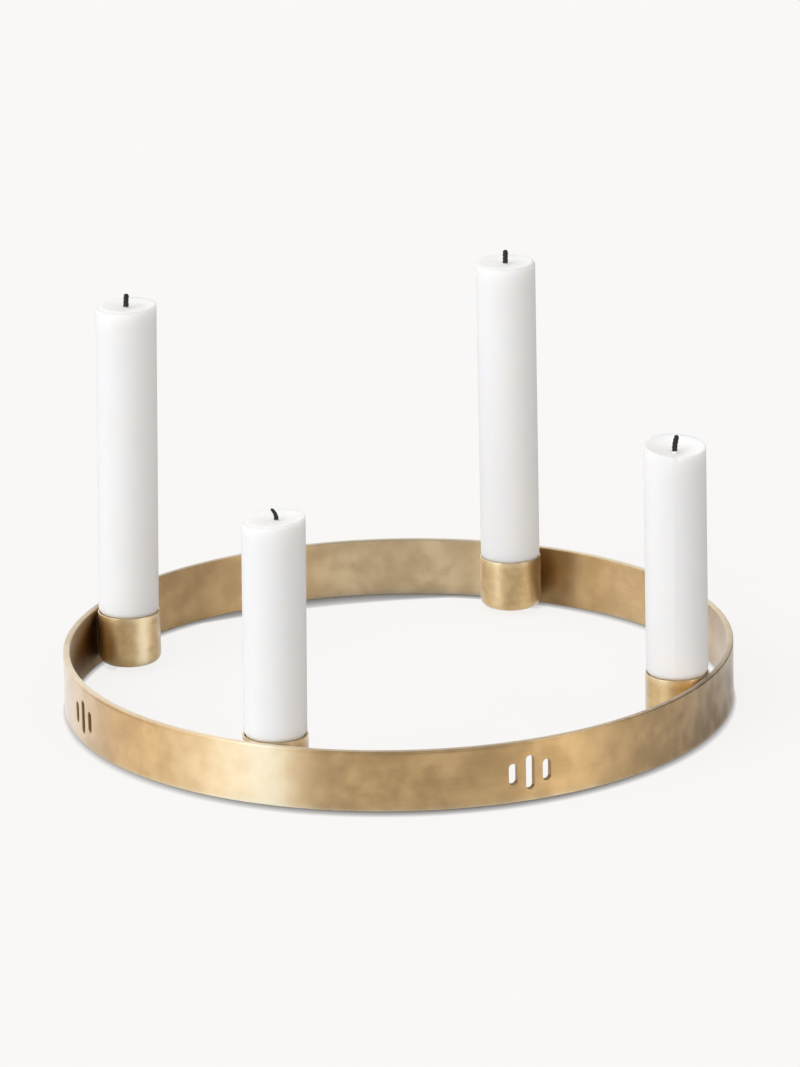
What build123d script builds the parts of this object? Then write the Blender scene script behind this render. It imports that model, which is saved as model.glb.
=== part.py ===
from build123d import *
from dataclasses import dataclass
import math
import os

# Advent candle holder: a flat brass strip rolled on edge into a ring, with a drawn brass cup brazed
# inside it at each quarter and a part-burnt candle standing in each cup. +Z is up, the origin is the
# middle of the ring on the table, the front cup is towards -Y and the right cup towards +X.

# Driving dimensions, in millimetres and degrees. A bearing is measured from +X towards +Y.
band_diameter = 250.0
band_height = 22.5
band_thickness = 2.5
band_edge_radius = 0.4

slot_width = 3.2
slot_pitch = 6.5
slot_lengths = (8.0, 12.8, 8.0)
slot_height = 10.7        # middle of the slots above the table
slot_bearings = (45, 135, 225, 314.6)

cup_diameter = 23.6
cup_height = 20.0
cup_wall = 0.7
cup_corner_radius = 3.0
cup_lip_radius = 0.25
cup_drop = 0.2            # lip of the cup below the top edge of the band

braze_gap = 0.1           # thinnest part of the solder between a cup and the band
braze_width = 8.0
braze_margin = 0.4        # bare wall left above and below the solder

candle_diameter = 22.8
foot_diameter = 21.0      # pared down to go into the cup
foot_corner_radius = 2.8
shoulder_height = 2.2
seat_gap = 0.1
rim_radius = 2.0
rim_flat = 0.3            # level part between the round of the rim and the pool
pool_depth = 1.0

bowl_radius = 22.8        # the candle that ran over has burnt to a deeper bowl
bowl_shift = 2.2          # of the bowl towards its lower side
bowl_bearing = -42.0
spout_bearing = -63.0
spout_radius = 1.2
spout_slope = 12.0
spout_length = 9.0
ridge_bearing = -73.0     # ridge of wax that ran down from the spout
ridge_height = 0.12

wick_diameter = 2.2
wick_tip_radius = 0.6
wick_stand = 0.6          # straight part of a wick above the wax before it bends
sway_bearing = 23.0       # candles lean and wicks bend towards this side, or away from it


@dataclass(frozen=True)
class Candle:
    """One part-burnt candle and the wick left standing in it."""

    bearing: float        # place round the ring
    rim_height: float     # above the table
    lean: float           # off plumb
    shoulder_rise: float  # of the pared part above the lip of the cup
    wick_reach: float     # above the wax
    wick_bend: float      # of the tip, sideways
    wick_shift: float = 0.0  # off the candle's axis, sideways
    top_tilt: float = 0.0    # of the burnt top, off level
    ran_over: bool = False


candles = {
    "front": Candle(269.3, 102.8, 0.95, -0.4, 5.0, -2.0, wick_shift=1.0, top_tilt=4.0),
    "right": Candle(0.4, 109.0, -0.35, 0.5, 7.2, 1.0, ran_over=True),
    "rear": Candle(89.35, 140.3, -0.1, -0.7, 5.2, 0.1),
    "left": Candle(180.35, 142.4, 1.4, -0.6, 5.3, 0.2, top_tilt=2.0),
}

# Sizes that follow from the driving dimensions
band_radius = band_diameter / 2
band_bore_radius = band_radius - band_thickness
cup_radius = cup_diameter / 2
cup_circle_radius = band_bore_radius - braze_gap - cup_radius
cup_top = band_height - cup_drop
cup_base = cup_top - cup_height
cup_depth = cup_height - cup_wall
candle_radius = candle_diameter / 2
foot_radius = foot_diameter / 2
wick_radius = wick_diameter / 2
bowl_rise = math.sqrt(bowl_radius**2 - candle_radius**2 - bowl_shift**2)
bowl_depth = bowl_radius - bowl_rise
base_middle = (Align.CENTER, Align.CENTER, Align.MIN)


def ring_band():
    """Rolled strip with eased edges, and a group of upright slots midway between each pair of cups."""
    with BuildPart() as strip:
        with BuildSketch():
            Circle(band_radius)
            Circle(band_bore_radius, mode=Mode.SUBTRACT)
        extrude(amount=band_height)
        fillet(strip.edges().filter_by(GeomType.CIRCLE), band_edge_radius)
    band = strip.part
    pitch_angle = math.degrees(slot_pitch / band_radius)
    inside_band = Plane.YZ.offset(band_bore_radius - band_thickness)
    for bearing in slot_bearings:
        for place, length in enumerate(slot_lengths):
            profile = inside_band * SlotOverall(length, slot_width, rotation=90)
            cutter = extrude(profile, amount=3 * band_thickness)
            turn = bearing + (place - 1) * pitch_angle
            band -= Rot(Z=turn) * Pos(Z=slot_height) * cutter
    return band


def cup():
    """Drawn cup standing on its own base at the origin: flat floor, round corner, rounded lip."""
    with BuildPart() as shell:
        Cylinder(cup_radius, cup_height, align=base_middle)
        fillet(shell.edges().group_by(Axis.Z)[0], cup_corner_radius)
        offset(amount=-cup_wall, openings=shell.faces().sort_by(Axis.Z)[-1])
        fillet(shell.edges().group_by(Axis.Z)[-1], cup_lip_radius)
    return shell.part


def braze():
    """Solder that fills the narrow wedge on both sides of where a cup on +X meets the band."""
    bottom = cup_base + cup_corner_radius + braze_margin
    top = band_height - band_edge_radius - braze_margin
    from_axis = (Align.MIN, Align.CENTER, Align.MIN)
    wedge = Pos(X=cup_circle_radius) * Box(2 * cup_radius, braze_width, top - bottom, align=from_axis)
    wedge &= Cylinder(band_bore_radius, band_height, align=base_middle)
    wedge -= Pos(X=cup_circle_radius) * Cylinder(cup_radius, band_height, align=base_middle)
    return Pos(Z=bottom) * wedge


def swayed(angle):
    """Turn that leans +Z towards the side the candles lean to."""
    return Rot(Z=sway_bearing) * Rot(Y=angle) * Rot(Z=-sway_bearing)


def candle_profile(candle, length, shaft_radius):
    """Half section of a candle from its foot to a flat top: pared foot, round shoulder and shaft."""
    neck = cup_depth - seat_gap + candle.shoulder_rise
    shoulder = (shaft_radius, neck + shoulder_height)
    with BuildSketch(Plane.XZ) as section:
        with BuildLine():
            floor = Line((0, 0), (foot_radius - foot_corner_radius, 0))
            corner = TangentArc(floor @ 1, (foot_radius, foot_corner_radius), tangent=(1, 0))
            foot = Line(corner @ 1, (foot_radius, neck))
            TangentArc(shoulder, foot @ 1, tangent=(0, -1))
            Polyline(shoulder, (shaft_radius, length), (0, length), (0, 0))
        make_face()
    return section.sketch


def plain_candle(candle, length):
    """Candle that burnt evenly, with a soft rim round a shallow pool, its top a little out of level."""
    shaft = revolve(candle_profile(candle, length + candle_radius, candle_radius), Axis.Z)
    top = Pos(Z=length) * swayed(-candle.top_tilt)
    shaft -= top * Box(2 * candle_diameter, 2 * candle_diameter, 2 * candle_diameter, align=base_middle)
    shaft = fillet(shaft.edges().sort_by(Axis.Z)[-1], rim_radius)
    lip_radius = candle_radius - rim_radius - rim_flat
    pool_radius = (lip_radius**2 + pool_depth**2) / (2 * pool_depth)
    return shaft - top * Pos(Z=pool_radius - pool_depth) * Sphere(pool_radius)


def ridged_section():
    """Round section with two flats that meet in a low ridge, tangent to the circle on both sides."""
    crest = candle_radius + ridge_height
    half_angle = math.degrees(math.acos(candle_radius / crest))
    with BuildSketch() as section:
        with BuildLine():
            shaft = CenterArc((0, 0), candle_radius, half_angle, 360 - 2 * half_angle)
            Line(shaft @ 0, (crest, 0))
            Line((crest, 0), shaft @ 1)
        make_face()
    return Rot(Z=ridge_bearing) * section.sketch


def overrun_candle(candle, length):
    """Candle that ran over: a bowl lower on one side, a spout in its rim, and a ridge of wax below that."""
    stock = length + spout_radius + bowl_shift
    shaft = extrude(ridged_section(), amount=stock)
    shaft &= revolve(candle_profile(candle, stock, candle_radius + 2 * ridge_height), Axis.Z)
    shaft -= Rot(Z=bowl_bearing) * Pos(bowl_shift, 0, length + bowl_rise) * Sphere(bowl_radius)
    aside = math.radians(spout_bearing - bowl_bearing)
    spout_reach = math.hypot(candle_radius - bowl_shift * math.cos(aside), bowl_shift * math.sin(aside))
    spout_fall = math.sqrt(bowl_radius**2 - spout_reach**2)
    spout_lip = Pos(candle_radius, 0, length + bowl_rise - spout_fall)
    spout = Cylinder(spout_radius, spout_length)
    return shaft - Rot(Z=spout_bearing) * spout_lip * Rot(Y=90 + spout_slope) * spout


def wick(candle, length):
    """Cotton wick from the foot of its candle up through the wax, bent over at the charred tip."""
    pool = length - (bowl_depth if candle.ran_over else pool_depth)
    aside = Vector(1, 0, 0).rotate(Axis.Z, sway_bearing)
    root = aside * candle.wick_shift
    tip = root + aside * candle.wick_bend + Vector(0, 0, pool + candle.wick_reach)
    with BuildPart() as cord:
        with BuildLine() as path:
            core = Line(root, root + Vector(0, 0, pool + wick_stand))
            TangentArc(core @ 1, tip, tangent=(0, 0, 1))
        with BuildSketch(Plane(root)):
            Circle(wick_radius)
        sweep(path=path.line)
        fillet(cord.faces().sort_by(Axis.Z)[-1].edges(), wick_tip_radius)
    return cord.part


def candle_seat(candle):
    """Height of a candle's foot: on the floor of its cup, and higher by the tilt of its flat."""
    tilt_rise = (foot_radius - foot_corner_radius) * math.sin(math.radians(abs(candle.lean)))
    return cup_base + cup_wall + seat_gap + tilt_rise


def candle_place(candle):
    """Place of a candle in its cup, leaning about the middle of the cup's mouth."""
    bearing = math.radians(candle.bearing)
    mouth = Pos(cup_circle_radius * math.cos(bearing), cup_circle_radius * math.sin(bearing), cup_top)
    return mouth * swayed(candle.lean) * Pos(Z=candle_seat(candle) - cup_top)


os.makedirs("parts", exist_ok=True)
export_step(ring_band(), "parts/ring_band.step")
for side, candle in candles.items():
    quarter = Rot(Z=candle.bearing)
    export_step(quarter * Pos(cup_circle_radius, 0, cup_base) * cup(), f"parts/cup_{side}.step")
    export_step(quarter * braze(), f"parts/braze_{side}.step")
    length = candle.rim_height - candle_seat(candle)
    cotton = wick(candle, length)
    burnt = overrun_candle if candle.ran_over else plain_candle
    wax = burnt(candle, length) - cotton
    export_step(candle_place(candle) * wax, f"parts/candle_{side}.step")
    export_step(candle_place(candle) * cotton, f"parts/wick_{side}.step")
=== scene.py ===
import math

import bmesh
import bpy
import numpy as np
from mathutils import Matrix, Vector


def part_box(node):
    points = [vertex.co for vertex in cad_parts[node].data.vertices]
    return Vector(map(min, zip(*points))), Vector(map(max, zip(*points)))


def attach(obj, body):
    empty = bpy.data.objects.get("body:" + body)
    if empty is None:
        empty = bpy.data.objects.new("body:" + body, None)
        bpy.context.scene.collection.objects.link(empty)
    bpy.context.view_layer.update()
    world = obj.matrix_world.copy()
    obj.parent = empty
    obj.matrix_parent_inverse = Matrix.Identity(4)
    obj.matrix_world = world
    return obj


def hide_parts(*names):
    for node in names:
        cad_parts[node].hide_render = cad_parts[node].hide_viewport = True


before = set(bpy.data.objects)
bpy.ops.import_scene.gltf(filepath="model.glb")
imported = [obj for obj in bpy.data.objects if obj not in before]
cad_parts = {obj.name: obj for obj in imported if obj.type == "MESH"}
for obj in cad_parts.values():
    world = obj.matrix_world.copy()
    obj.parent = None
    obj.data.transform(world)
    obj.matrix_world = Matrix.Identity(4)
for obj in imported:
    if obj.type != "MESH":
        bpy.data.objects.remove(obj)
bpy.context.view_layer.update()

# The band: one flat strip of brass rolled on edge into a ring, its edges eased and its faces brushed along
# the strip and left to tarnish. Upright slots are punched through it in threes, midway between the cups.
# Sizes of the pieces are in millimetres, and bearings run from +X towards +Y.
mm = 0.001
band_radius, _, band_height = np.array(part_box("ring_band")[1]) / mm
band_thickness = 2.5
band_ease = 0.4
slot_width = 3.2
slot_pitch = 6.5
slot_lengths = (8.0, 12.8, 8.0)
slot_height = 10.7
slot_ease = 0.15
slot_bearings = np.radians((45, 135, 225, 314.6))
weld_distance = 0.002
face_rows = 31
ease_rows = 6
plain_columns = 97
cell_columns = 12

# The mask is 1 where the brass is rubbed bright and where highlights are painted, and -1 where shade is
# painted. The band's edges are rubbed, partly real wear and partly painted highlight, a line of painted
# shade runs along under the upper one, and patches of painted highlight, reflection and shade lie on a face
# or on the rim. Each run or patch is centred on a bearing and fades over a reach, both in degrees, and a
# patch may fall off towards the rim.
rub_and_highlight_reach = 0.7
rim_rub_and_highlight_reach = 0.15
slot_shade = 2.0
shade_line_offset = 0.75
shade_line_width = 0.35
shade_line_share = 0.65
shade_line_runs = (dict(bearing=-122, reach=14), dict(bearing=-60, reach=22))
# Patches of painted highlight and painted reflection above 0, and of painted shade below 0
painted_light_patches = (
    dict(bearing=-94, reach=11, outside=0.6),
    dict(bearing=-89, reach=4, outside=0.5),
    dict(bearing=-95, reach=25, rim=-0.7),
    dict(bearing=-15, reach=40, rim=-0.8),
    dict(bearing=3, reach=18, outside=-1.0, fall=0.5),
    dict(bearing=113, reach=40, inside=0.5),
    dict(bearing=188, reach=25, inside=-1.0, fall=0.2),
    dict(bearing=146, reach=12, inside=-0.9),
    dict(bearing=82, reach=7, inside=-1.1),
)


def placed(name, data):
    """Adds an object to the scene, at the origin."""
    thing = bpy.data.objects.new(name, data)
    bpy.context.scene.collection.objects.link(thing)
    return thing


def welded(name, grids, mask):
    """Makes one closed mesh from grids of points. A grid is (points, pattern, mask) in rows and columns,
    and every four neighbours are a face. Points that coincide become one. The pattern goes to the UV map
    "lay", and the mask to a point attribute of the given name."""
    points = np.concatenate([grid[0].reshape(-1, 3) for grid in grids]) * mm
    pattern = np.concatenate([grid[1].reshape(-1, 2) for grid in grids]) * mm
    shade = np.concatenate([grid[2].ravel() for grid in grids])
    faces = []
    first = 0
    for grid in grids:
        rows, columns = grid[0].shape[:2]
        corner = first + np.arange(rows * columns).reshape(rows, columns)
        quads = (corner[:-1, :-1], corner[:-1, 1:], corner[1:, 1:], corner[1:, :-1])
        faces.append(np.stack(quads, -1).reshape(-1, 4))
        first += rows * columns
    faces = np.concatenate(faces)
    mesh = bpy.data.meshes.new(name)
    mesh.from_pydata(points, [], faces)
    mesh.uv_layers.new(name="lay").data.foreach_set("uv", pattern[faces.ravel()].ravel())
    mesh.attributes.new(mask, "FLOAT", "POINT").data.foreach_set("value", shade)
    work = bmesh.new()
    work.from_mesh(mesh)
    bmesh.ops.remove_doubles(work, verts=work.verts, dist=weld_distance * mm)
    bmesh.ops.recalc_face_normals(work, faces=work.faces)
    work.to_mesh(mesh)
    work.free()
    mesh.shade_smooth()
    return placed(name, mesh)


def angle_from(bearing, middle):
    """Angle between two bearings, from minus to plus half a turn."""
    return (bearing - middle + np.pi) % (2 * np.pi) - np.pi


def fading(bearing, patch):
    """1 at the patch's bearing, and falling off to both sides of it as a bell curve."""
    aside = angle_from(bearing, np.radians(patch["bearing"]))
    return np.exp(-((aside / np.radians(patch["reach"])) ** 2))


def rolled(along, up, deep):
    """Grid on the ring from the flat strip: the distance along the strip becomes an arc at the outer
    radius, up is the height above the table, and deep the distance in from the outer face. The mask is
    wear and painted light: it dies away exponentially from both edges, which are rubbed and carry a painted
    highlight, the patches of painted light and the runs of painted shade are added as bell curves round the
    ring, and painted shade fills the walls of the slots, most at half their depth."""
    along, up, deep = np.broadcast_arrays(along, up, deep)
    bearing = along / band_radius
    radius = band_radius - deep
    inside = deep / band_thickness
    points = np.stack([radius * np.cos(bearing), radius * np.sin(bearing), up], -1)
    # Both edges are rubbed: partly real wear and partly a painted highlight
    rim = np.exp((up - band_height) / rim_rub_and_highlight_reach)
    wear_and_painted_light = np.exp(-up / rub_and_highlight_reach) + rim
    for patch in painted_light_patches:
        strength = patch.get("outside", 0) * (1 - inside) + patch.get("inside", 0) * inside
        strength = strength * (1 - patch.get("fall", 0) * up / band_height) + patch.get("rim", 0) * rim
        wear_and_painted_light = wear_and_painted_light + strength * fading(bearing, patch)
    # A line of painted shade under the upper edge, along the front of the ring
    line = shade_line_share * np.exp(-(((band_height - up - shade_line_offset) / shade_line_width) ** 2)) * (1 - inside)
    for run in shade_line_runs:
        wear_and_painted_light = wear_and_painted_light - line * fading(bearing, run)
    # Painted shade in the walls of the slots
    in_wall = np.sin(np.pi * inside) * (np.abs(up - band_height / 2) < band_height / 2 - band_ease)
    return points, np.stack([along, up + deep], -1), wear_and_painted_light - slot_shade * in_wall


# The grid round a slot: rows on the faces lie closer towards the edges. The shares are how far each loop
# on a face stands out from the slot towards the rectangle. The wall's own loop lies short of mid-depth.
face_up = band_ease + (band_height - 2 * band_ease) * (1 - np.cos(np.linspace(0, np.pi, face_rows))) / 2
face_shares = np.array([1, 0.98, 0.95, 0.9, 0.82, 0.7, 0.5, 0.3, 0.15, 0.05])
slot_ease_rows = 5
slot_wall_share = 0.45


def slot_cell(middle, length):
    """One slot and the upright rectangle of strip round it, as a loop of points carried through the band.
    Each loop lies between the slot's outline, two half circles joined by straight sides, and the rectangle.
    It runs in over the outer face, round the eased edge, through the wall and out over the inner face."""
    across = 2 * np.arange(cell_columns) / cell_columns - 1
    climb = (face_up[:-1] - face_up[0]) / (face_up[-1] - face_up[0])
    end_turn = np.pi * (1 + across) / 2
    ease_turn = np.linspace(0, np.pi / 2, slot_ease_rows)
    share = np.concatenate([face_shares, 0 * ease_turn, [0]])[:, None]
    turn = np.concatenate([0 * face_shares, ease_turn, [np.pi / 2]])[:, None]
    deep = slot_ease * (1 - np.cos(turn))
    deep[-1] = slot_wall_share * band_thickness
    radius = slot_width / 2 + slot_ease * (1 - np.sin(turn))
    straight = (length - slot_width) / 2 * (2 * climb - 1) + 0 * radius
    slot_side = radius + 0 * climb
    slot_end = straight[:, :1] - radius * np.sin(end_turn)
    slot_x = np.hstack([-radius * np.cos(end_turn), slot_side, radius * np.cos(end_turn), -slot_side])
    slot_z = slot_height + np.hstack([slot_end, straight, -slot_end, -straight])
    cell_x = np.hstack([across, 1 + 0 * climb, -across, -1 + 0 * climb]) * slot_pitch / 2
    cell_z = np.hstack([face_up[0] + 0 * across, face_up[:-1], face_up[-1] + 0 * across, face_up[:0:-1]])
    x = slot_x + share * (cell_x - slot_x)
    z = slot_z + share * (cell_z - slot_z)
    x, z = (np.hstack([loop, loop[:, :1]]) for loop in (x, z))
    x, z = (np.vstack([loop, loop[::-1]]) for loop in (x, z))
    return rolled(middle + x, z, np.vstack([deep, band_thickness - deep[::-1]]))


ease_turn = np.linspace(0, np.pi / 2, ease_rows)
ease_deep = band_ease * (1 - np.cos(ease_turn))
ease_rise = band_ease * np.sin(ease_turn)
rim_deep = np.concatenate([ease_deep, band_thickness - ease_deep[::-1]])[:, None]
rim_top = band_height - band_ease + np.concatenate([ease_rise, ease_rise[::-1]])[:, None]
group_length = len(slot_lengths) * slot_pitch
group_columns = len(slot_lengths) * cell_columns + 1
band_grids = []
for bearing, next_bearing in zip(slot_bearings, np.roll(slot_bearings, -1)):
    group_start = bearing * band_radius - group_length / 2
    plain_length = (next_bearing - bearing) % (2 * np.pi) * band_radius - group_length
    group_along = group_start + group_length * np.linspace(0, 1, group_columns)
    plain_along = group_start + group_length + plain_length * np.linspace(0, 1, plain_columns)
    rim_along = np.concatenate([group_along[:-1], plain_along])
    for deep in (0, band_thickness):
        band_grids.append(rolled(plain_along, face_up[:, None], deep))
    for place, length in enumerate(slot_lengths):
        band_grids.append(slot_cell(group_start + (place + 0.5) * slot_pitch, length))
    for up in (rim_top, band_height - rim_top):
        band_grids.append(rolled(rim_along, up, rim_deep))
band = welded("band", band_grids, "wear_and_painted_light")


def new_material(name):
    """Starts a material: itself, its node tree and the surface shader in it."""
    material = bpy.data.materials.new(name)
    material.use_nodes = True
    return material, material.node_tree, material.node_tree.nodes["Principled BSDF"]


def new_group(name, inputs, outputs):
    """Starts a shader node group: a named socket for each input, with its usual value, and each output."""
    group = bpy.data.node_groups.new(name, "ShaderNodeTree")
    for socket, (kind, value) in inputs.items():
        made = group.interface.new_socket(socket, in_out="INPUT", socket_type="NodeSocket" + kind)
        if value is not None:
            made.default_value = value
    for socket in outputs:
        group.interface.new_socket(socket, in_out="OUTPUT", socket_type="NodeSocketFloat")
    return group, group.nodes.new("NodeGroupInput").outputs, group.nodes.new("NodeGroupOutput").inputs


def add(tree, kind, inputs, **settings):
    """Adds a shader node. Inputs are values or other nodes' outputs, by socket name or number."""
    node = tree.nodes.new("ShaderNode" + kind)
    for option, value in settings.items():
        setattr(node, option, value)
    for socket, value in inputs.items():
        if isinstance(value, bpy.types.NodeSocket):
            tree.links.new(value, node.inputs[socket])
        else:
            node.inputs[socket].default_value = value
    return node


def worked_out(tree, operation, *values):
    """Number from a Math node, such as a sum or a product."""
    return add(tree, "Math", dict(enumerate(values)), operation=operation).outputs[0]


def ranged(tree, value, start, end, low, high, shape="LINEAR"):
    """Number that goes from low to high as the value goes from start to end, and stays there beyond."""
    inputs = {"Value": value, "From Min": start, "From Max": end, "To Min": low, "To Max": high}
    return add(tree, "MapRange", inputs, interpolation_type=shape).outputs["Result"]


def mixed(tree, share, first, second):
    """Colour between two others: the first at a share of 0, and the second at 1."""
    return add(tree, "Mix", {0: share, 6: first, 7: second}, data_type="RGBA").outputs[2]


def between(tree, share, first, second):
    """Number between two others: the first at a share of 0, and the second at 1."""
    return add(tree, "Mix", {0: share, 2: first, 3: second}).outputs[0]


def noise(tree, place, scale, detail, roughness=0.5):
    """Soft random pattern in space, from 0 to 1. The scale is in patches per unit of place."""
    inputs = {"Vector": place, "Scale": scale, "Detail": detail, "Roughness": roughness}
    return add(tree, "TexNoise", inputs).outputs["Fac"]


# Tarnish, for all the brass: soft clouds of darker metal with smaller blotches in them, and a slow swell of
# the sheet.
blotches_per_cloud = 4.0
blotch_share = 0.45
cloud_start = 0.36
cloud_full = 0.64
tarnish, given, result = new_group(
    "tarnish", {"Position": ("Vector", None), "Cloud": ("Float", 30 * mm)}, ("Cloud", "Swell")
)
cloud_scale = worked_out(tarnish, "DIVIDE", 1.0, given["Cloud"])
blotch_scale = worked_out(tarnish, "MULTIPLY", cloud_scale, blotches_per_cloud)
clouds = noise(tarnish, given["Position"], cloud_scale, detail=4.0)
blotches = noise(tarnish, given["Position"], blotch_scale, detail=3.0)
cloud = between(tarnish, blotch_share, clouds, blotches)
cloud = ranged(tarnish, cloud, cloud_start, cloud_full, 0.0, 1.0, shape="SMOOTHSTEP")
swell = noise(tarnish, given["Position"], cloud_scale, detail=0.5)
tarnish.links.new(cloud, result["Cloud"])
tarnish.links.new(swell, result["Swell"])

# Brush marks, for all the brass: fine lines drawn out along the lay of the metal, and broader streaks of
# them.
streaks_per_line = 0.3
streak_start = 0.35
streak_full = 0.65
brush, given, result = new_group(
    "brush_marks",
    {"Lay": ("Vector", None), "Length": ("Float", 6 * mm), "Width": ("Float", 0.4 * mm)},
    ("Line", "Streak"),
)
per_length = worked_out(brush, "DIVIDE", 1.0, given["Length"])
per_width = worked_out(brush, "DIVIDE", 1.0, given["Width"])
stretch = add(brush, "CombineXYZ", {"X": per_length, "Y": per_width}).outputs[0]
drawn = add(brush, "VectorMath", {0: given["Lay"], 1: stretch}, operation="MULTIPLY").outputs[0]
line = noise(brush, drawn, 1.0, detail=3.0, roughness=0.6)
streak = noise(brush, drawn, streaks_per_line, detail=3.0, roughness=0.6)
streak = ranged(brush, streak, streak_start, streak_full, 0.0, 1.0, shape="SMOOTHSTEP")
brush.links.new(line, result["Line"])
brush.links.new(streak, result["Streak"])

# What all the brass has in common. A quarter turn sets the drawn-out shine across the brush marks.
streak_share = 0.2
glancing_tone = (0.95, 0.915, 0.865, 1.0)
glancing_start = 0.5
glancing_end = 1.05
cloudy_rub_and_highlight = 0.75
cloudy_roughness = 0.1
rubbed_smoothness = 0.12
swell_per_cloud = 0.01
brush_strength = 0.2
brush_depth = 0.05
shine_turn = 0.25
lacquer_roughness = 0.35


def brass(name, bright, dull, rubbed_and_highlight, painted_shade_tone, roughness, drawn_out, lacquer, cloud_size):
    """Brushed and tarnished brass: dull where the tarnish clouds and the streaks are, paler at a glancing
    angle, a lighter colour where the mask of wear and painted light is above 0, for rubbed edges and
    painted highlights, and a darker colour of painted shade where it is below, with no lacquer there. The
    sheet swells a little, the brush marks are fine relief, and the shine is drawn out across them."""
    material, tree, surface = new_material(name)
    place = add(tree, "TexCoord", {}).outputs["Object"]
    lay = add(tree, "UVMap", {}, uv_map="lay").outputs["UV"]
    aged = add(tree, "Group", {"Position": place, "Cloud": cloud_size * mm}, node_tree=tarnish).outputs
    marks = add(tree, "Group", {"Lay": lay}, node_tree=brush).outputs
    wear_and_painted_light = add(tree, "Attribute", {}, attribute_name="wear_and_painted_light").outputs["Fac"]
    facing = add(tree, "LayerWeight", {}).outputs["Facing"]
    glancing = ranged(tree, facing, glancing_start, glancing_end, 0.0, 1.0)
    # Above 0: rubbed wear and painted highlight; below 0: painted shade
    rub_and_highlight = worked_out(tree, "MULTIPLY", wear_and_painted_light, ranged(tree, aged["Cloud"], 0.0, 1.0, 1.0, cloudy_rub_and_highlight))
    painted_shade = worked_out(tree, "MULTIPLY", wear_and_painted_light, -1.0)
    tone = mixed(tree, between(tree, streak_share, aged["Cloud"], marks["Streak"]), bright, dull)
    tone = mixed(tree, glancing, tone, glancing_tone)
    tone = mixed(tree, rub_and_highlight, tone, rubbed_and_highlight)
    tone = mixed(tree, painted_shade, tone, painted_shade_tone)
    cloudy = ranged(tree, aged["Cloud"], 0.0, 1.0, roughness, roughness + cloudy_roughness)
    smoothing = ranged(tree, wear_and_painted_light, 0.0, 1.0, 0.0, -rubbed_smoothness)
    swell_depth = swell_per_cloud * cloud_size * mm
    swell = add(tree, "Bump", {"Height": aged["Swell"], "Distance": swell_depth}).outputs["Normal"]
    relief = add(tree, "Bump", {
        "Height": marks["Line"], "Strength": brush_strength, "Distance": brush_depth * mm, "Normal": swell,
    })
    tangent = add(tree, "Tangent", {}, direction_type="UV_MAP", uv_map="lay")
    tree.links.new(tone, surface.inputs["Base Color"])
    tree.links.new(worked_out(tree, "ADD", cloudy, smoothing), surface.inputs["Roughness"])
    tree.links.new(relief.outputs["Normal"], surface.inputs["Normal"])
    tree.links.new(tangent.outputs["Tangent"], surface.inputs["Tangent"])
    surface.inputs["Metallic"].default_value = 1.0
    surface.inputs["Anisotropic"].default_value = drawn_out
    surface.inputs["Anisotropic Rotation"].default_value = shine_turn
    if lacquer:
        tree.links.new(ranged(tree, wear_and_painted_light, -1.0, 0.0, 0.0, lacquer), surface.inputs["Coat Weight"])
        surface.inputs["Coat Roughness"].default_value = lacquer_roughness
    return material


band_brass = brass(
    "band_brass",
    bright=(0.88, 0.59, 0.265, 1.0),
    dull=(0.77, 0.495, 0.205, 1.0),
    rubbed_and_highlight=(0.90, 0.80, 0.58, 1.0),
    painted_shade_tone=(0.48, 0.335, 0.18, 1.0),
    roughness=0.42,
    drawn_out=1.0,
    lacquer=1.0,
    cloud_size=30,
)
band.data.materials.append(band_brass)
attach(band, "holder")
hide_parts("ring_band")

# The cups: each is drawn from thin brass sheet, with a flat floor, a round corner and a smoothed lip, and
# is brushed round its wall. They hang inside the band, just clear of the table. The lips are rubbed, partly
# real wear and partly painted highlight, the feet are darkened round the corner with painted shade, and two
# cups have upright patches of painted highlight and painted reflection, given as the band's are.
sides = ("front", "right", "rear", "left")
cup_wall = 0.7
cup_corner = 3.0
cup_lip = 0.25
cup_columns = 193
cup_floor_points = 5
wall_points = 9
lip_points = 6
# Painted shade round the foot's corner
corner_shade = 0.6
corner_shade_reach = 1.2
# Patches of painted highlight above 0, and of painted reflection of the band below 0
cup_painted_light_patches = {
    "front": (),
    "right": (),
    "rear": (dict(bearing=-97, reach=15, strength=0.3),),
    "left": (dict(bearing=-39, reach=15, strength=1.3), dict(bearing=-106, reach=20, strength=-0.5)),
}
cup_low, cup_high = np.array(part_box("cup_front")) / mm
cup_radius = (cup_high[0] - cup_low[0]) / 2
cup_bore = cup_radius - cup_wall
cup_base = cup_low[2]
cup_floor = cup_base + cup_wall
cup_top = cup_high[2]
cup_middles = {side: np.mean(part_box(f"cup_{side}"), axis=0) / mm for side in sides}


def arc(middle, radius, first, last, count=9):
    """Points of a half section along a round, from one angle to another, in degrees up from level."""
    turn = np.radians(np.linspace(first, last, count))
    return np.stack([middle[0] + radius * np.cos(turn), middle[1] + radius * np.sin(turn)], -1)


def turned(middle, section, patches):
    """Surface of revolution: the half section, in radius and height, turned about an upright axis. The
    pattern runs round the piece and along the section. The mask is wear and painted light: 1 at the rubbed
    and highlighted lip, below 0 at the foot's corner, which is painted with shade, and more or less in
    upright patches of painted highlight and painted reflection round the wall."""
    bearing = np.linspace(0, 2 * np.pi, cup_columns)
    radius, height = section[:, :1], section[:, 1:]
    length = np.concatenate([[0], np.cumsum(np.hypot(*np.diff(section, axis=0).T))])[:, None]
    x, y, z = np.broadcast_arrays(radius * np.cos(bearing), radius * np.sin(bearing), height)
    pattern = np.stack(np.broadcast_arrays(bearing * radius.max(), length), -1)
    wear_and_painted_light = np.exp((z - height.max()) / rub_and_highlight_reach)
    wear_and_painted_light = wear_and_painted_light - corner_shade * np.exp((height.min() - z) / corner_shade_reach)
    for patch in patches:
        wear_and_painted_light = wear_and_painted_light + patch["strength"] * fading(bearing, patch)
    return np.stack([middle[0] + x, middle[1] + y, z], -1), pattern, wear_and_painted_light


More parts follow.
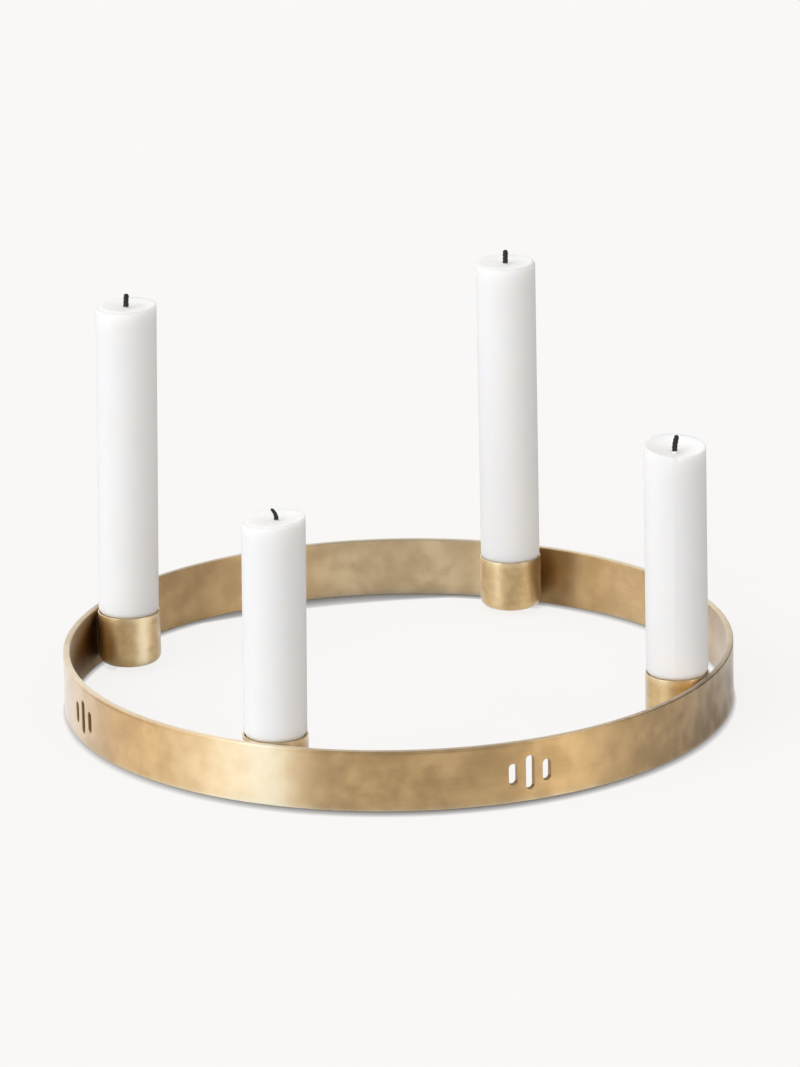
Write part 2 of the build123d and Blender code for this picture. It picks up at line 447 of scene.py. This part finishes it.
corner_middle = (cup_radius - cup_corner, cup_base + cup_corner)
lip_height = cup_top - cup_lip
cup_section = np.concatenate([
    np.linspace((0, cup_base), (corner_middle[0], cup_base), cup_floor_points)[:-1],
    arc(corner_middle, cup_corner, -90, 0),
    np.linspace((cup_radius, corner_middle[1]), (cup_radius, lip_height), wall_points)[1:-1],
    arc((cup_radius - cup_lip, lip_height), cup_lip, 0, 90, lip_points),
    arc((cup_bore + cup_lip, lip_height), cup_lip, 90, 180, lip_points),
    np.linspace((cup_bore, lip_height), (cup_bore, corner_middle[1]), wall_points)[1:-1],
    arc(corner_middle, cup_corner - cup_wall, 0, -90),
    np.linspace((corner_middle[0], cup_floor), (0, cup_floor), cup_floor_points)[1:],
])
cup_brass = brass(
    "cup_brass",
    bright=(0.75, 0.55, 0.28, 1.0),
    dull=(0.65, 0.46, 0.22, 1.0),
    rubbed_and_highlight=(0.96, 0.80, 0.52, 1.0),
    painted_shade_tone=(0.40, 0.27, 0.12, 1.0),
    roughness=0.42,
    drawn_out=0.8,
    lacquer=0.5,
    cloud_size=12,
)
for side in sides:
    cup_grid = turned(cup_middles[side], cup_section, cup_painted_light_patches[side])
    cup = welded(f"cup_{side}_brass", [cup_grid], "wear_and_painted_light")
    cup.data.materials.append(cup_brass)
    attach(cup, "holder")
    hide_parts(f"cup_{side}")

# The braze seams: hard solder drawn into the narrow wedge on both sides of where a cup meets the band. Its
# free faces are hollow, as a liquid's are between two walls, and its colour is darkened as painted shade in
# the crease.
braze_width = 8.0
braze_margin = 0.4
braze_low = cup_base + cup_corner + braze_margin
braze_high = band_height - band_ease - braze_margin
braze_hollow = 1.2
seam_columns = 33
seam_layers = 9
seam_rows = 17
cup_circle = np.hypot(*cup_middles["right"][:2])
band_bore = band_radius - band_thickness


def swung(x, y, bearing):
    """Places turned about the upright axis by a bearing, as distances towards +X and +Y."""
    return x * np.cos(bearing) - y * np.sin(bearing), x * np.sin(bearing) + y * np.cos(bearing)


def braze_face(bearing, along, through, climb):
    """One face of a seam: along the wedge from -1 to 1, through it from the cup's wall to the band's, and
    up it from 0 to 1. The ends and the upper and lower faces hollow inwards between the two walls, as
    parabolas."""
    along, through, climb = np.broadcast_arrays(along, through, climb)
    hollow = braze_hollow * 4 * through * (1 - through)
    y = along * (braze_width / 2 - hollow)
    from_cup = cup_circle + np.sqrt(cup_radius**2 - y**2)
    from_band = np.sqrt(band_bore**2 - y**2)
    x = from_cup + through * (from_band - from_cup)
    z = braze_low + hollow + climb * (braze_high - braze_low - 2 * hollow)
    return np.stack([*swung(x, y, bearing), z], -1), np.stack([y, z], -1), np.zeros_like(x)


# Dark colours stand in for the shade in the crease between cup and band
braze_brass = brass(
    "braze_brass",
    bright=(0.40, 0.28, 0.13, 1.0),
    dull=(0.28, 0.18, 0.07, 1.0),
    rubbed_and_highlight=(0.40, 0.28, 0.13, 1.0),
    painted_shade_tone=(0.28, 0.18, 0.07, 1.0),
    roughness=0.6,
    drawn_out=0.0,
    lacquer=0.0,
    cloud_size=4,
)
along = np.linspace(-1, 1, seam_columns)[:, None]
through = np.linspace(0, 1, seam_layers)
climb = np.linspace(0, 1, seam_rows)
for side in sides:
    bearing = math.atan2(cup_middles[side][1], cup_middles[side][0])
    seam_grids = []
    for last in (0, 1):
        seam_grids.append(braze_face(bearing, along, last, climb))
        seam_grids.append(braze_face(bearing, 2 * last - 1, through[:, None], climb))
        seam_grids.append(braze_face(bearing, along, through, last))
    seam = welded(f"braze_{side}_seam", seam_grids, "wear_and_painted_light")
    seam.data.materials.append(braze_brass)
    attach(seam, "holder")
    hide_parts(f"braze_{side}")

# The candles: white wax, the foot pared down to go into the cup, and each burnt to its own height. Three
# have burnt evenly to a soft rim and a shallow pool. The right one has burnt to a bowl, run over at a spout
# in its rim and set in a low ridge down the shaft.
candle_radius = 11.4
foot_radius = 10.5
foot_corner = 2.8
shoulder_height = 2.2
seat_gap = 0.1
foot_shade_reach = 2.5
sway = math.radians(23)
bowl_radius = 22.8
bowl_shift = 2.2
bowl_bearing = math.radians(-42)
bowl_rise = math.sqrt(bowl_radius**2 - candle_radius**2 - bowl_shift**2)
spout_bearing = math.radians(-63)
spout_depth = 0.9
spout_width = math.radians(8)
spout_fade = 6
ridge_bearing = math.radians(-73)
ridge_height = 0.18
ridge_reach = math.acos(candle_radius / (candle_radius + ridge_height))
candle_columns = 241
foot_points = 4
neck_points = 6
shaft_rows = 33
rim_rows = 11
top_rows = 25

# Leans, tilts and the bearing of a rim's softer side are in degrees. The higher the flat, the flatter the
# middle of the pool.
candle_forms = {
    "front": dict(rim=102.8, lean=0.95, shoulder=-0.4, tilt=4.0),
    "right": dict(rim=109.0, lean=-0.35, shoulder=-0.3, tilt=0.0),
    "rear": dict(rim=140.3, lean=-0.1, shoulder=-0.7, tilt=0.0),
    "left": dict(rim=142.4, lean=1.4, shoulder=-0.6, tilt=2.0),
}
top_forms = {
    "front": dict(pool=1.0, soft=1.3, softer=1.0, soft_side=203, flat=2.0),
    "right": dict(pool=bowl_radius - bowl_rise, soft=0.5, softer=0.0, soft_side=0),
    "rear": dict(pool=0.8, soft=1.1, softer=0.6, soft_side=320, flat=3.0),
    "left": dict(pool=1.0, soft=1.4, softer=1.1, soft_side=230, flat=2.6),
}


def seat_height(side):
    """Height of a candle's foot above the table: on its cup's floor, and higher by the tilt of its flat."""
    tilt_rise = (foot_radius - foot_corner) * math.sin(math.radians(abs(candle_forms[side]["lean"])))
    return cup_floor + seat_gap + tilt_rise


def stood(points, side):
    """Puts points of a candle, measured from the middle of its foot, in their place: leaning in the cup
    about the middle of its mouth."""
    lean = Matrix.Rotation(math.radians(candle_forms[side]["lean"]), 3, "Y")
    lean = np.array(Matrix.Rotation(sway, 3, "Z") @ lean @ Matrix.Rotation(-sway, 3, "Z"))
    mouth = np.array([*cup_middles[side][:2], cup_top])
    return mouth + (points + (0, 0, seat_height(side) - cup_top)) @ lean.T


def bowl_height(radius, bearing):
    """Height of the burnt bowl above the mean of its rim: part of a sphere whose middle is off the axis."""
    off_axis = radius**2 + bowl_shift**2 - 2 * radius * bowl_shift * np.cos(bearing - bowl_bearing)
    return bowl_rise - np.sqrt(bowl_radius**2 - off_axis)


def candle_grid(side):
    """Skin of one candle, in rows from the middle of its foot up the shaft, over the rim and in to the
    middle of its top. The rim's round is softer on one side, and the top is tilted or bowl-shaped. The mask
    is 1 where the wax has been liquid, and the rim and pool carry painted shade, and below 0 on the pared
    foot under the lip of the cup, which carries painted warm shade."""
    form = candle_forms[side]
    top_form = top_forms[side]
    ran_over = side == "right"
    bearing = ridge_bearing + np.linspace(0, 2 * np.pi, candle_columns)
    length = form["rim"] - seat_height(side)
    neck = cup_top - cup_floor - seat_gap + form["shoulder"]
    drop = candle_radius - foot_radius
    shoulder_radius = (drop**2 + shoulder_height**2) / (2 * drop)
    shoulder_turn = math.degrees(math.asin(shoulder_height / shoulder_radius))
    shoulder_middle = (candle_radius - shoulder_radius, neck + shoulder_height)
    section = np.concatenate([
        np.linspace((0, 0), (foot_radius - foot_corner, 0), foot_points)[:-1],
        arc((foot_radius - foot_corner, foot_corner), foot_corner, -90, 0),
        np.linspace((foot_radius, foot_corner), (foot_radius, neck), neck_points)[1:-1],
        arc(shoulder_middle, shoulder_radius, -shoulder_turn, 0),
    ])
    pared = ((section[:, :1] - foot_radius) / drop).clip(0)
    climb = np.linspace(0, 1, shaft_rows)[1:-1, None]
    turn = np.linspace(0, np.pi / 2, rim_rows)[:, None]
    inward = np.linspace(1, 0, top_rows)[1:, None]
    soft_side = math.radians(top_form["soft_side"])
    soft = top_form["soft"] + top_form["softer"] * np.cos(bearing - soft_side)
    if ran_over:
        crest = 1 / np.cos(np.maximum(0, ridge_reach - np.abs(angle_from(bearing, ridge_bearing))))
        notch = spout_depth * np.exp(-(angle_from(bearing, spout_bearing) / spout_width) ** 2)
        rim_inside = candle_radius * crest - soft
        top = length + bowl_height(rim_inside, bearing) - notch
        dish = length + bowl_height(rim_inside * inward, bearing) - notch * inward**spout_fade
    else:
        crest = np.ones_like(bearing)
        rim_inside = candle_radius - soft
        pool = length - top_form["pool"]
        top = length + candle_radius * math.tan(math.radians(form["tilt"])) * np.cos(bearing - sway)
        dish = pool + (top - pool) * inward ** top_form["flat"]
    shaft_low = neck + shoulder_height
    shaft_high = top - soft
    radius = np.vstack([
        section[:, :1] * (1 + pared * (crest - 1)),
        candle_radius * crest + 0 * climb,
        rim_inside + soft * np.cos(turn),
        rim_inside * inward,
    ])
    height = np.vstack([
        section[:, 1:] + 0 * bearing,
        shaft_low + climb * (shaft_high - shaft_low),
        shaft_high + soft * np.sin(turn),
        dish,
    ])
    # Painted warm shade on the pared foot, strongest where it meets the lip
    foot_shaded = (1 - pared) * np.exp(np.minimum(section[:, 1:] - neck, 0) / foot_shade_reach)
    melt_and_shade = np.vstack([-foot_shaded, 0 * climb, turn / (np.pi / 2), 1 + 0 * inward]) + 0 * bearing
    points = np.stack([radius * np.cos(bearing), radius * np.sin(bearing), height], -1)
    pattern = np.stack(np.broadcast_arrays(candle_radius * bearing, height), -1)
    return stood(points, side), pattern, melt_and_shade


# The rim's grey and the pool's lower white are painted shade that holds the tops down to the sides
shaft_white = (0.95, 0.95, 0.94, 1.0)
rim_painted_shade = (0.68, 0.68, 0.67, 1.0)
rim_share = 0.5
pool_shaded_white = (0.89, 0.89, 0.88, 1.0)
foot_shade_tan = (0.72, 0.59, 0.41, 1.0)
shaft_roughness = 0.65
pool_roughness = 0.55
bloom_per_metre = 90.0
bloom_dimming = 0.98
grain_per_metre = 900.0
wax, tree, surface = new_material("wax")
place = add(tree, "TexCoord", {}).outputs["Object"]
melt_and_shade = add(tree, "Attribute", {}, attribute_name="melt_and_shade").outputs["Fac"]
bloom = noise(tree, place, bloom_per_metre, detail=3.0)
grain = noise(tree, place, grain_per_metre, detail=2.0)
clear = add(tree, "ValToRGB", {"Fac": melt_and_shade})
clear.color_ramp.elements[0].color = shaft_white
clear.color_ramp.elements[1].color = pool_shaded_white
clear.color_ramp.elements.new(rim_share).color = rim_painted_shade
cloudy = {0: clear.outputs["Color"], "Scale": ranged(tree, bloom, 0.0, 1.0, bloom_dimming, 1.0)}
tone = add(tree, "VectorMath", cloudy, operation="SCALE").outputs["Vector"]
# The tan is painted warm shade and brass reflection where the wax meets the cup's lip
foot_shade = worked_out(tree, "MULTIPLY", melt_and_shade, -1.0)
rough = ranged(tree, melt_and_shade, 0.0, 1.0, shaft_roughness, pool_roughness)
relief = add(tree, "Bump", {"Height": grain, "Strength": 0.1, "Distance": 0.1 * mm})
tree.links.new(mixed(tree, foot_shade, tone, foot_shade_tan), surface.inputs["Base Color"])
tree.links.new(rough, surface.inputs["Roughness"])
tree.links.new(relief.outputs["Normal"], surface.inputs["Normal"])
surface.inputs["Subsurface Weight"].default_value = 1.0
surface.inputs["Subsurface Radius"].default_value = (1.0, 0.9, 0.8)
surface.inputs["Subsurface Scale"].default_value = 5.0 * mm
surface.inputs["IOR"].default_value = 1.44
surface.inputs["Specular IOR Level"].default_value = 0.3
for side in sides:
    candle = welded(f"candle_{side}_wax", [candle_grid(side)], "melt_and_shade")
    candle.data.materials.append(wax)
    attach(candle, f"{side}_candle")
    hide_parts(f"candle_{side}")

# The wicks: plaited cotton, cast into the candles and charred black where they stand out of the wax. The
# flame has bent some of their tips over, and the right one's foot is coated in wax.
wick_radius = 1.1
wick_stand = 0.6
wick_root = 3.0
wick_blunt = 0.9
wick_rows = 91
wick_columns = 49
core_share = 0.80
strand_share = 0.08
strand_turns = 1.5
strand_rise = 2.2
lump_share = 0.04
lump_turns = 2
lump_rise = 1.7
lump_beat = 3.1
lump_start = 1.0
char_edge = 0.5
wick_forms = {
    "front": dict(reach=4.3, bend=-1.9, shift=1.0, thin=0.85, taper=0.4, coat=0.0),
    "right": dict(reach=6.7, bend=1.0, shift=0.0, thin=1.0, taper=0.1, coat=0.5),
    "rear": dict(reach=5.5, bend=0.1, shift=0.0, thin=1.0, taper=0.05, coat=0.0),
    "left": dict(reach=5.3, bend=0.2, shift=0.0, thin=1.0, taper=0.05, coat=0.0),
}


def wick_grid(side):
    """Skin of one wick: a tube that runs straight up from the candle's foot, out of the wax, and then bends
    over along an arc. Its round is roughened by the crossing strands of the plait and by slow lumps, which
    are sines of the turn and the run, and drawn in to a blunt tip. The mask is 1 where it is charred."""
    form = wick_forms[side]
    wax_height = candle_forms[side]["rim"] - seat_height(side) - top_forms[side]["pool"]
    rise = form["reach"] - wick_stand
    bend = 2 * math.atan2(form["bend"], rise)
    bent_length = rise * bend / math.sin(bend)
    foot = -wax_height - wick_stand
    run = np.linspace(-wick_root - wick_stand, bent_length, wick_rows)
    run = np.concatenate([[foot, foot], run])[:, None]
    turn = np.linspace(0, 2 * np.pi, wick_columns)
    past = np.maximum(run, 0) / bent_length * bend
    aside = bent_length / bend * (1 - np.cos(past))
    up = wax_height + wick_stand + np.minimum(run, 0) + bent_length / bend * np.sin(past)
    blunt = np.sqrt(1 - ((run - bent_length + wick_blunt) / wick_blunt).clip(0, 1) ** 2)
    strands = np.abs(np.sin(strand_turns * turn + strand_rise * run))
    strands = strands + np.abs(np.sin(strand_turns * turn - strand_rise * run))
    lumps = np.sin(lump_turns * turn + lump_rise * run) * np.sin(lump_beat * run + lump_start)
    taper = 1 - form["taper"] * np.maximum(run, 0) / bent_length
    plait = core_share + strand_share * strands + lump_share * lumps
    radius = wick_radius * form["thin"] * taper * blunt * plait
    radius[0] = 0
    out = radius * np.cos(turn)
    x = form["shift"] + aside + out * np.cos(past)
    y = radius * np.sin(turn)
    z = up - out * np.sin(past)
    points = np.stack([*swung(x, y, sway), z], -1)
    char = ((run + wick_stand - form["coat"]) / char_edge).clip(0, 1) + 0 * turn
    return stood(points, side), np.stack(np.broadcast_arrays(wick_radius * turn, run), -1), char


cotton_white = (0.88, 0.86, 0.80, 1.0)
char_black = (0.006, 0.005, 0.005, 1.0)
ash_grey = (0.03, 0.027, 0.025, 1.0)
ash_per_metre = 1400.0
wick_char, tree, surface = new_material("wick_char")
place = add(tree, "TexCoord", {}).outputs["Object"]
char = add(tree, "Attribute", {}, attribute_name="char").outputs["Fac"]
ash = noise(tree, place, ash_per_metre, detail=3.0)
burnt = mixed(tree, ash, char_black, ash_grey)
relief = add(tree, "Bump", {"Height": ash, "Strength": 0.5, "Distance": 0.2 * mm})
tree.links.new(mixed(tree, char, cotton_white, burnt), surface.inputs["Base Color"])
tree.links.new(relief.outputs["Normal"], surface.inputs["Normal"])
surface.inputs["Roughness"].default_value = 0.8
for side in sides:
    wick = welded(f"wick_{side}_cotton", [wick_grid(side)], "char")
    wick.data.materials.append(wick_char)
    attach(wick, f"{side}_candle")
    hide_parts(f"wick_{side}")

# The floor: a wide white table top that takes the holder's shadow. For the eye, and in what the brass
# mirrors, it is lifted to the white of the backdrop, except close under the metal and, in the brass alone,
# by the left cup, where a shadow of the cup is painted. The contact shadow is narrow at the ring's sides
# and widest inside its rear left.
camera_azimuth = 23.0
floor_reach = 8.0
floor_grey = (0.22, 0.22, 0.22, 1.0)
seen_grey = (0.10, 0.10, 0.10, 1.0)
lift_white = (1.0, 0.985, 0.97, 1.0)
lift_level = 0.85
lift_start = 0.2
contact_reach = 6.0
inner_contact_reach = 2.2
inner_contact_start = 3.0
inner_contact_end = 11.0
side_contact_reach = 1.0
rear_contact_reach = 12.5
rear_contact_start = -21.0
rear_contact_end = -11.0
rear_azimuth = -165.0
shadow_azimuth = -166.0
shadow_elevation = 28.0
shine_openness = 0.8
cup_shade = 0.7
cup_shade_reach = 35.0


def heading(azimuth, elevation):
    """Unit vector towards a place in the room, by its angle to the right of the camera and its height."""
    turn = math.radians(camera_azimuth + azimuth)
    climb = math.radians(elevation)
    return math.sin(turn) * math.cos(climb), -math.cos(turn) * math.cos(climb), math.sin(climb)


def seen_rays(tree):
    """1 for what the camera sees, straight or in a shine or through glass, and 0 for the light it gives."""
    ray = add(tree, "LightPath", {}).outputs
    seen = worked_out(tree, "ADD", ray["Is Camera Ray"], ray["Is Glossy Ray"])
    return worked_out(tree, "ADD", seen, ray["Is Transmission Ray"])


def measured(tree, operation, *vectors):
    """Number from a Vector Math node, such as a distance or a dot product."""
    return add(tree, "VectorMath", dict(enumerate(vectors)), operation=operation).outputs["Value"]


floor_mesh = bpy.data.meshes.new("floor")
floor_corners = floor_reach * np.array([(-1, -1, 0), (1, -1, 0), (1, 1, 0), (-1, 1, 0)])
floor_mesh.from_pydata(floor_corners, [], [(0, 1, 2, 3)])
floor = placed("floor", floor_mesh)
floor_white, tree, surface = new_material("floor_white")
seen = seen_rays(tree)
ray = add(tree, "LightPath", {}).outputs
place = add(tree, "TexCoord", {}).outputs["Object"]
tree.links.new(mixed(tree, seen, floor_grey, seen_grey), surface.inputs["Base Color"])
surface.inputs["Roughness"].default_value = 1.0
surface.inputs["Specular IOR Level"].default_value = 0.0

# How far off the metal still shades the floor: less inside the ring and at its sides, more at its rear
from_middle = measured(tree, "LENGTH", place)
under_band = ranged(
    tree, from_middle,
    (cup_circle + inner_contact_start) * mm, (cup_circle + inner_contact_end) * mm,
    inner_contact_reach * mm, contact_reach * mm,
)
toward = worked_out(tree, "ABSOLUTE", measured(tree, "DOT_PRODUCT", place, heading(0.0, 0.0)))
at_side = ranged(tree, toward, 0.0, band_radius * mm, side_contact_reach * mm, contact_reach * mm)
rearward = measured(tree, "DOT_PRODUCT", place, heading(rear_azimuth, 0.0))
at_rear = ranged(
    tree, rearward,
    (band_radius + rear_contact_start) * mm, (band_radius + rear_contact_end) * mm,
    0.0, rear_contact_reach * mm,
)
at_rear = worked_out(tree, "MULTIPLY", at_rear, ray["Is Camera Ray"])
reach = worked_out(tree, "MINIMUM", under_band, at_side)
reach = worked_out(tree, "MAXIMUM", reach, at_rear)

# How open the floor is towards the rear and above, and the lift that follows from it
sky_side = add(tree, "CombineXYZ", dict(enumerate(heading(shadow_azimuth, shadow_elevation))))
under_sky = {"Distance": reach, "Normal": sky_side.outputs["Vector"]}
openness = add(tree, "AmbientOcclusion", under_sky).outputs["AO"]
outside = worked_out(tree, "GREATER_THAN", from_middle, band_radius * mm)
in_shine = worked_out(tree, "MULTIPLY", ray["Is Glossy Ray"], shine_openness)
openness = worked_out(tree, "MAXIMUM", openness, worked_out(tree, "MULTIPLY", in_shine, outside))
lift = ranged(tree, openness, lift_start, 1.0, 0.0, lift_level)
# A painted shadow of the left cup on the floor, seen only in the brass
left_cup = tuple(cup_middles["left"] * (mm, mm, 0))
from_cup = measured(tree, "DISTANCE", place, left_cup)
cup_painted_shadow = ranged(tree, from_cup, 0.0, cup_shade_reach * mm, cup_shade, 0.0)
cup_painted_shadow = worked_out(tree, "MULTIPLY", cup_painted_shadow, ray["Is Glossy Ray"])
lift = worked_out(tree, "MULTIPLY", lift, worked_out(tree, "SUBTRACT", 1.0, cup_painted_shadow))
lift = worked_out(tree, "MULTIPLY", lift, seen)
glow = add(tree, "Emission", {"Color": lift_white, "Strength": lift})
total = add(tree, "AddShader", {0: surface.outputs["BSDF"], 1: glow.outputs["Emission"]})
tree.links.new(total.outputs["Shader"], tree.nodes["Material Output"].inputs["Surface"])
floor_mesh.materials.append(floor_white)

# The light: three wide soft lamps, two from the left and one from the right, in a pale room. What is seen
# of the room is grey, with a white backdrop behind the holder to the left and a dark wall behind it to the
# right. The light that the room gives is strongest from the front left.
room_white = (1.0, 0.968, 0.93, 1.0)
wall_level = 0.36
wall_changes = {
    "backdrop": dict(azimuth=-130.0, start=0.2, full=0.6, change=0.62),
    "dark_wall": dict(azimuth=135.0, start=0.5, full=0.9, change=-0.36),
}
room_level = 0.60
room_gain = 0.75
room_gain_start = -0.2
room_gain_heading = heading(-45.0, 5.0)
cool_white = (0.92, 1.0, 1.12)
plain_white = (1.0, 1.0, 1.02)
lamps = {
    "key_light": dict(azimuth=-56.0, elevation=28.0, width=40.0, strength=1.02, colour=cool_white),
    "left_light": dict(azimuth=-88.0, elevation=22.0, width=40.0, strength=0.15, colour=cool_white),
    "right_light": dict(azimuth=57.0, elevation=25.0, width=30.0, strength=0.45, colour=plain_white),
}
room = bpy.data.worlds.new("room")
bpy.context.scene.world = room
room.use_nodes = True
tree = room.node_tree
outward = add(tree, "TexCoord", {}).outputs["Generated"]
walls = wall_level
for wall in wall_changes.values():
    facing = measured(tree, "DOT_PRODUCT", outward, heading(wall["azimuth"], 0.0))
    shade = ranged(tree, facing, wall["start"], wall["full"], 0.0, wall["change"], shape="SMOOTHSTEP")
    walls = worked_out(tree, "ADD", walls, shade)
facing = measured(tree, "DOT_PRODUCT", outward, room_gain_heading)
glow = ranged(tree, facing, room_gain_start, 1.0, room_level, room_level + room_gain, shape="SMOOTHSTEP")
background = tree.nodes["Background"]
tree.links.new(between(tree, seen_rays(tree), glow, walls), background.inputs["Strength"])
background.inputs["Color"].default_value = room_white
for name, form in lamps.items():
    lamp = bpy.data.lights.new(name, "SUN")
    lamp.angle = math.radians(form["width"])
    lamp.energy = form["strength"]
    lamp.color = form["colour"]
    lamp_tip = math.radians(90 - form["elevation"])
    lamp_swing = math.radians(camera_azimuth + form["azimuth"])
    placed(name, lamp).rotation_euler = (lamp_tip, 0, lamp_swing)

# The camera: a long lens, looking down a little and aimed above the ring, with a slight roll. Its distance
# is in metres and its angles in degrees.
camera_distance = 2.238
camera_elevation = 19.12
camera_pitch = 1.56
camera_yaw = -0.04
camera_roll = 1.19
camera = bpy.data.cameras.new("camera")
camera.lens = 201.6
camera.sensor_width = 36.0
swing = Matrix.Rotation(math.radians(camera_azimuth), 4, "Z")
tip = Matrix.Rotation(math.radians(90 - camera_elevation), 4, "X")
back = Matrix.Translation((0, 0, camera_distance))
pitch = Matrix.Rotation(math.radians(camera_pitch), 4, "X")
yaw = Matrix.Rotation(math.radians(camera_yaw), 4, "Y")
aim = pitch @ yaw
roll = Matrix.Rotation(math.radians(-camera_roll), 4, "Z")
camera_object = placed("camera", camera)
camera_object.matrix_world = swing @ tip @ back @ aim @ roll
bpy.context.scene.camera = camera_object
bpy.context.scene.view_settings.view_transform = "Standard"
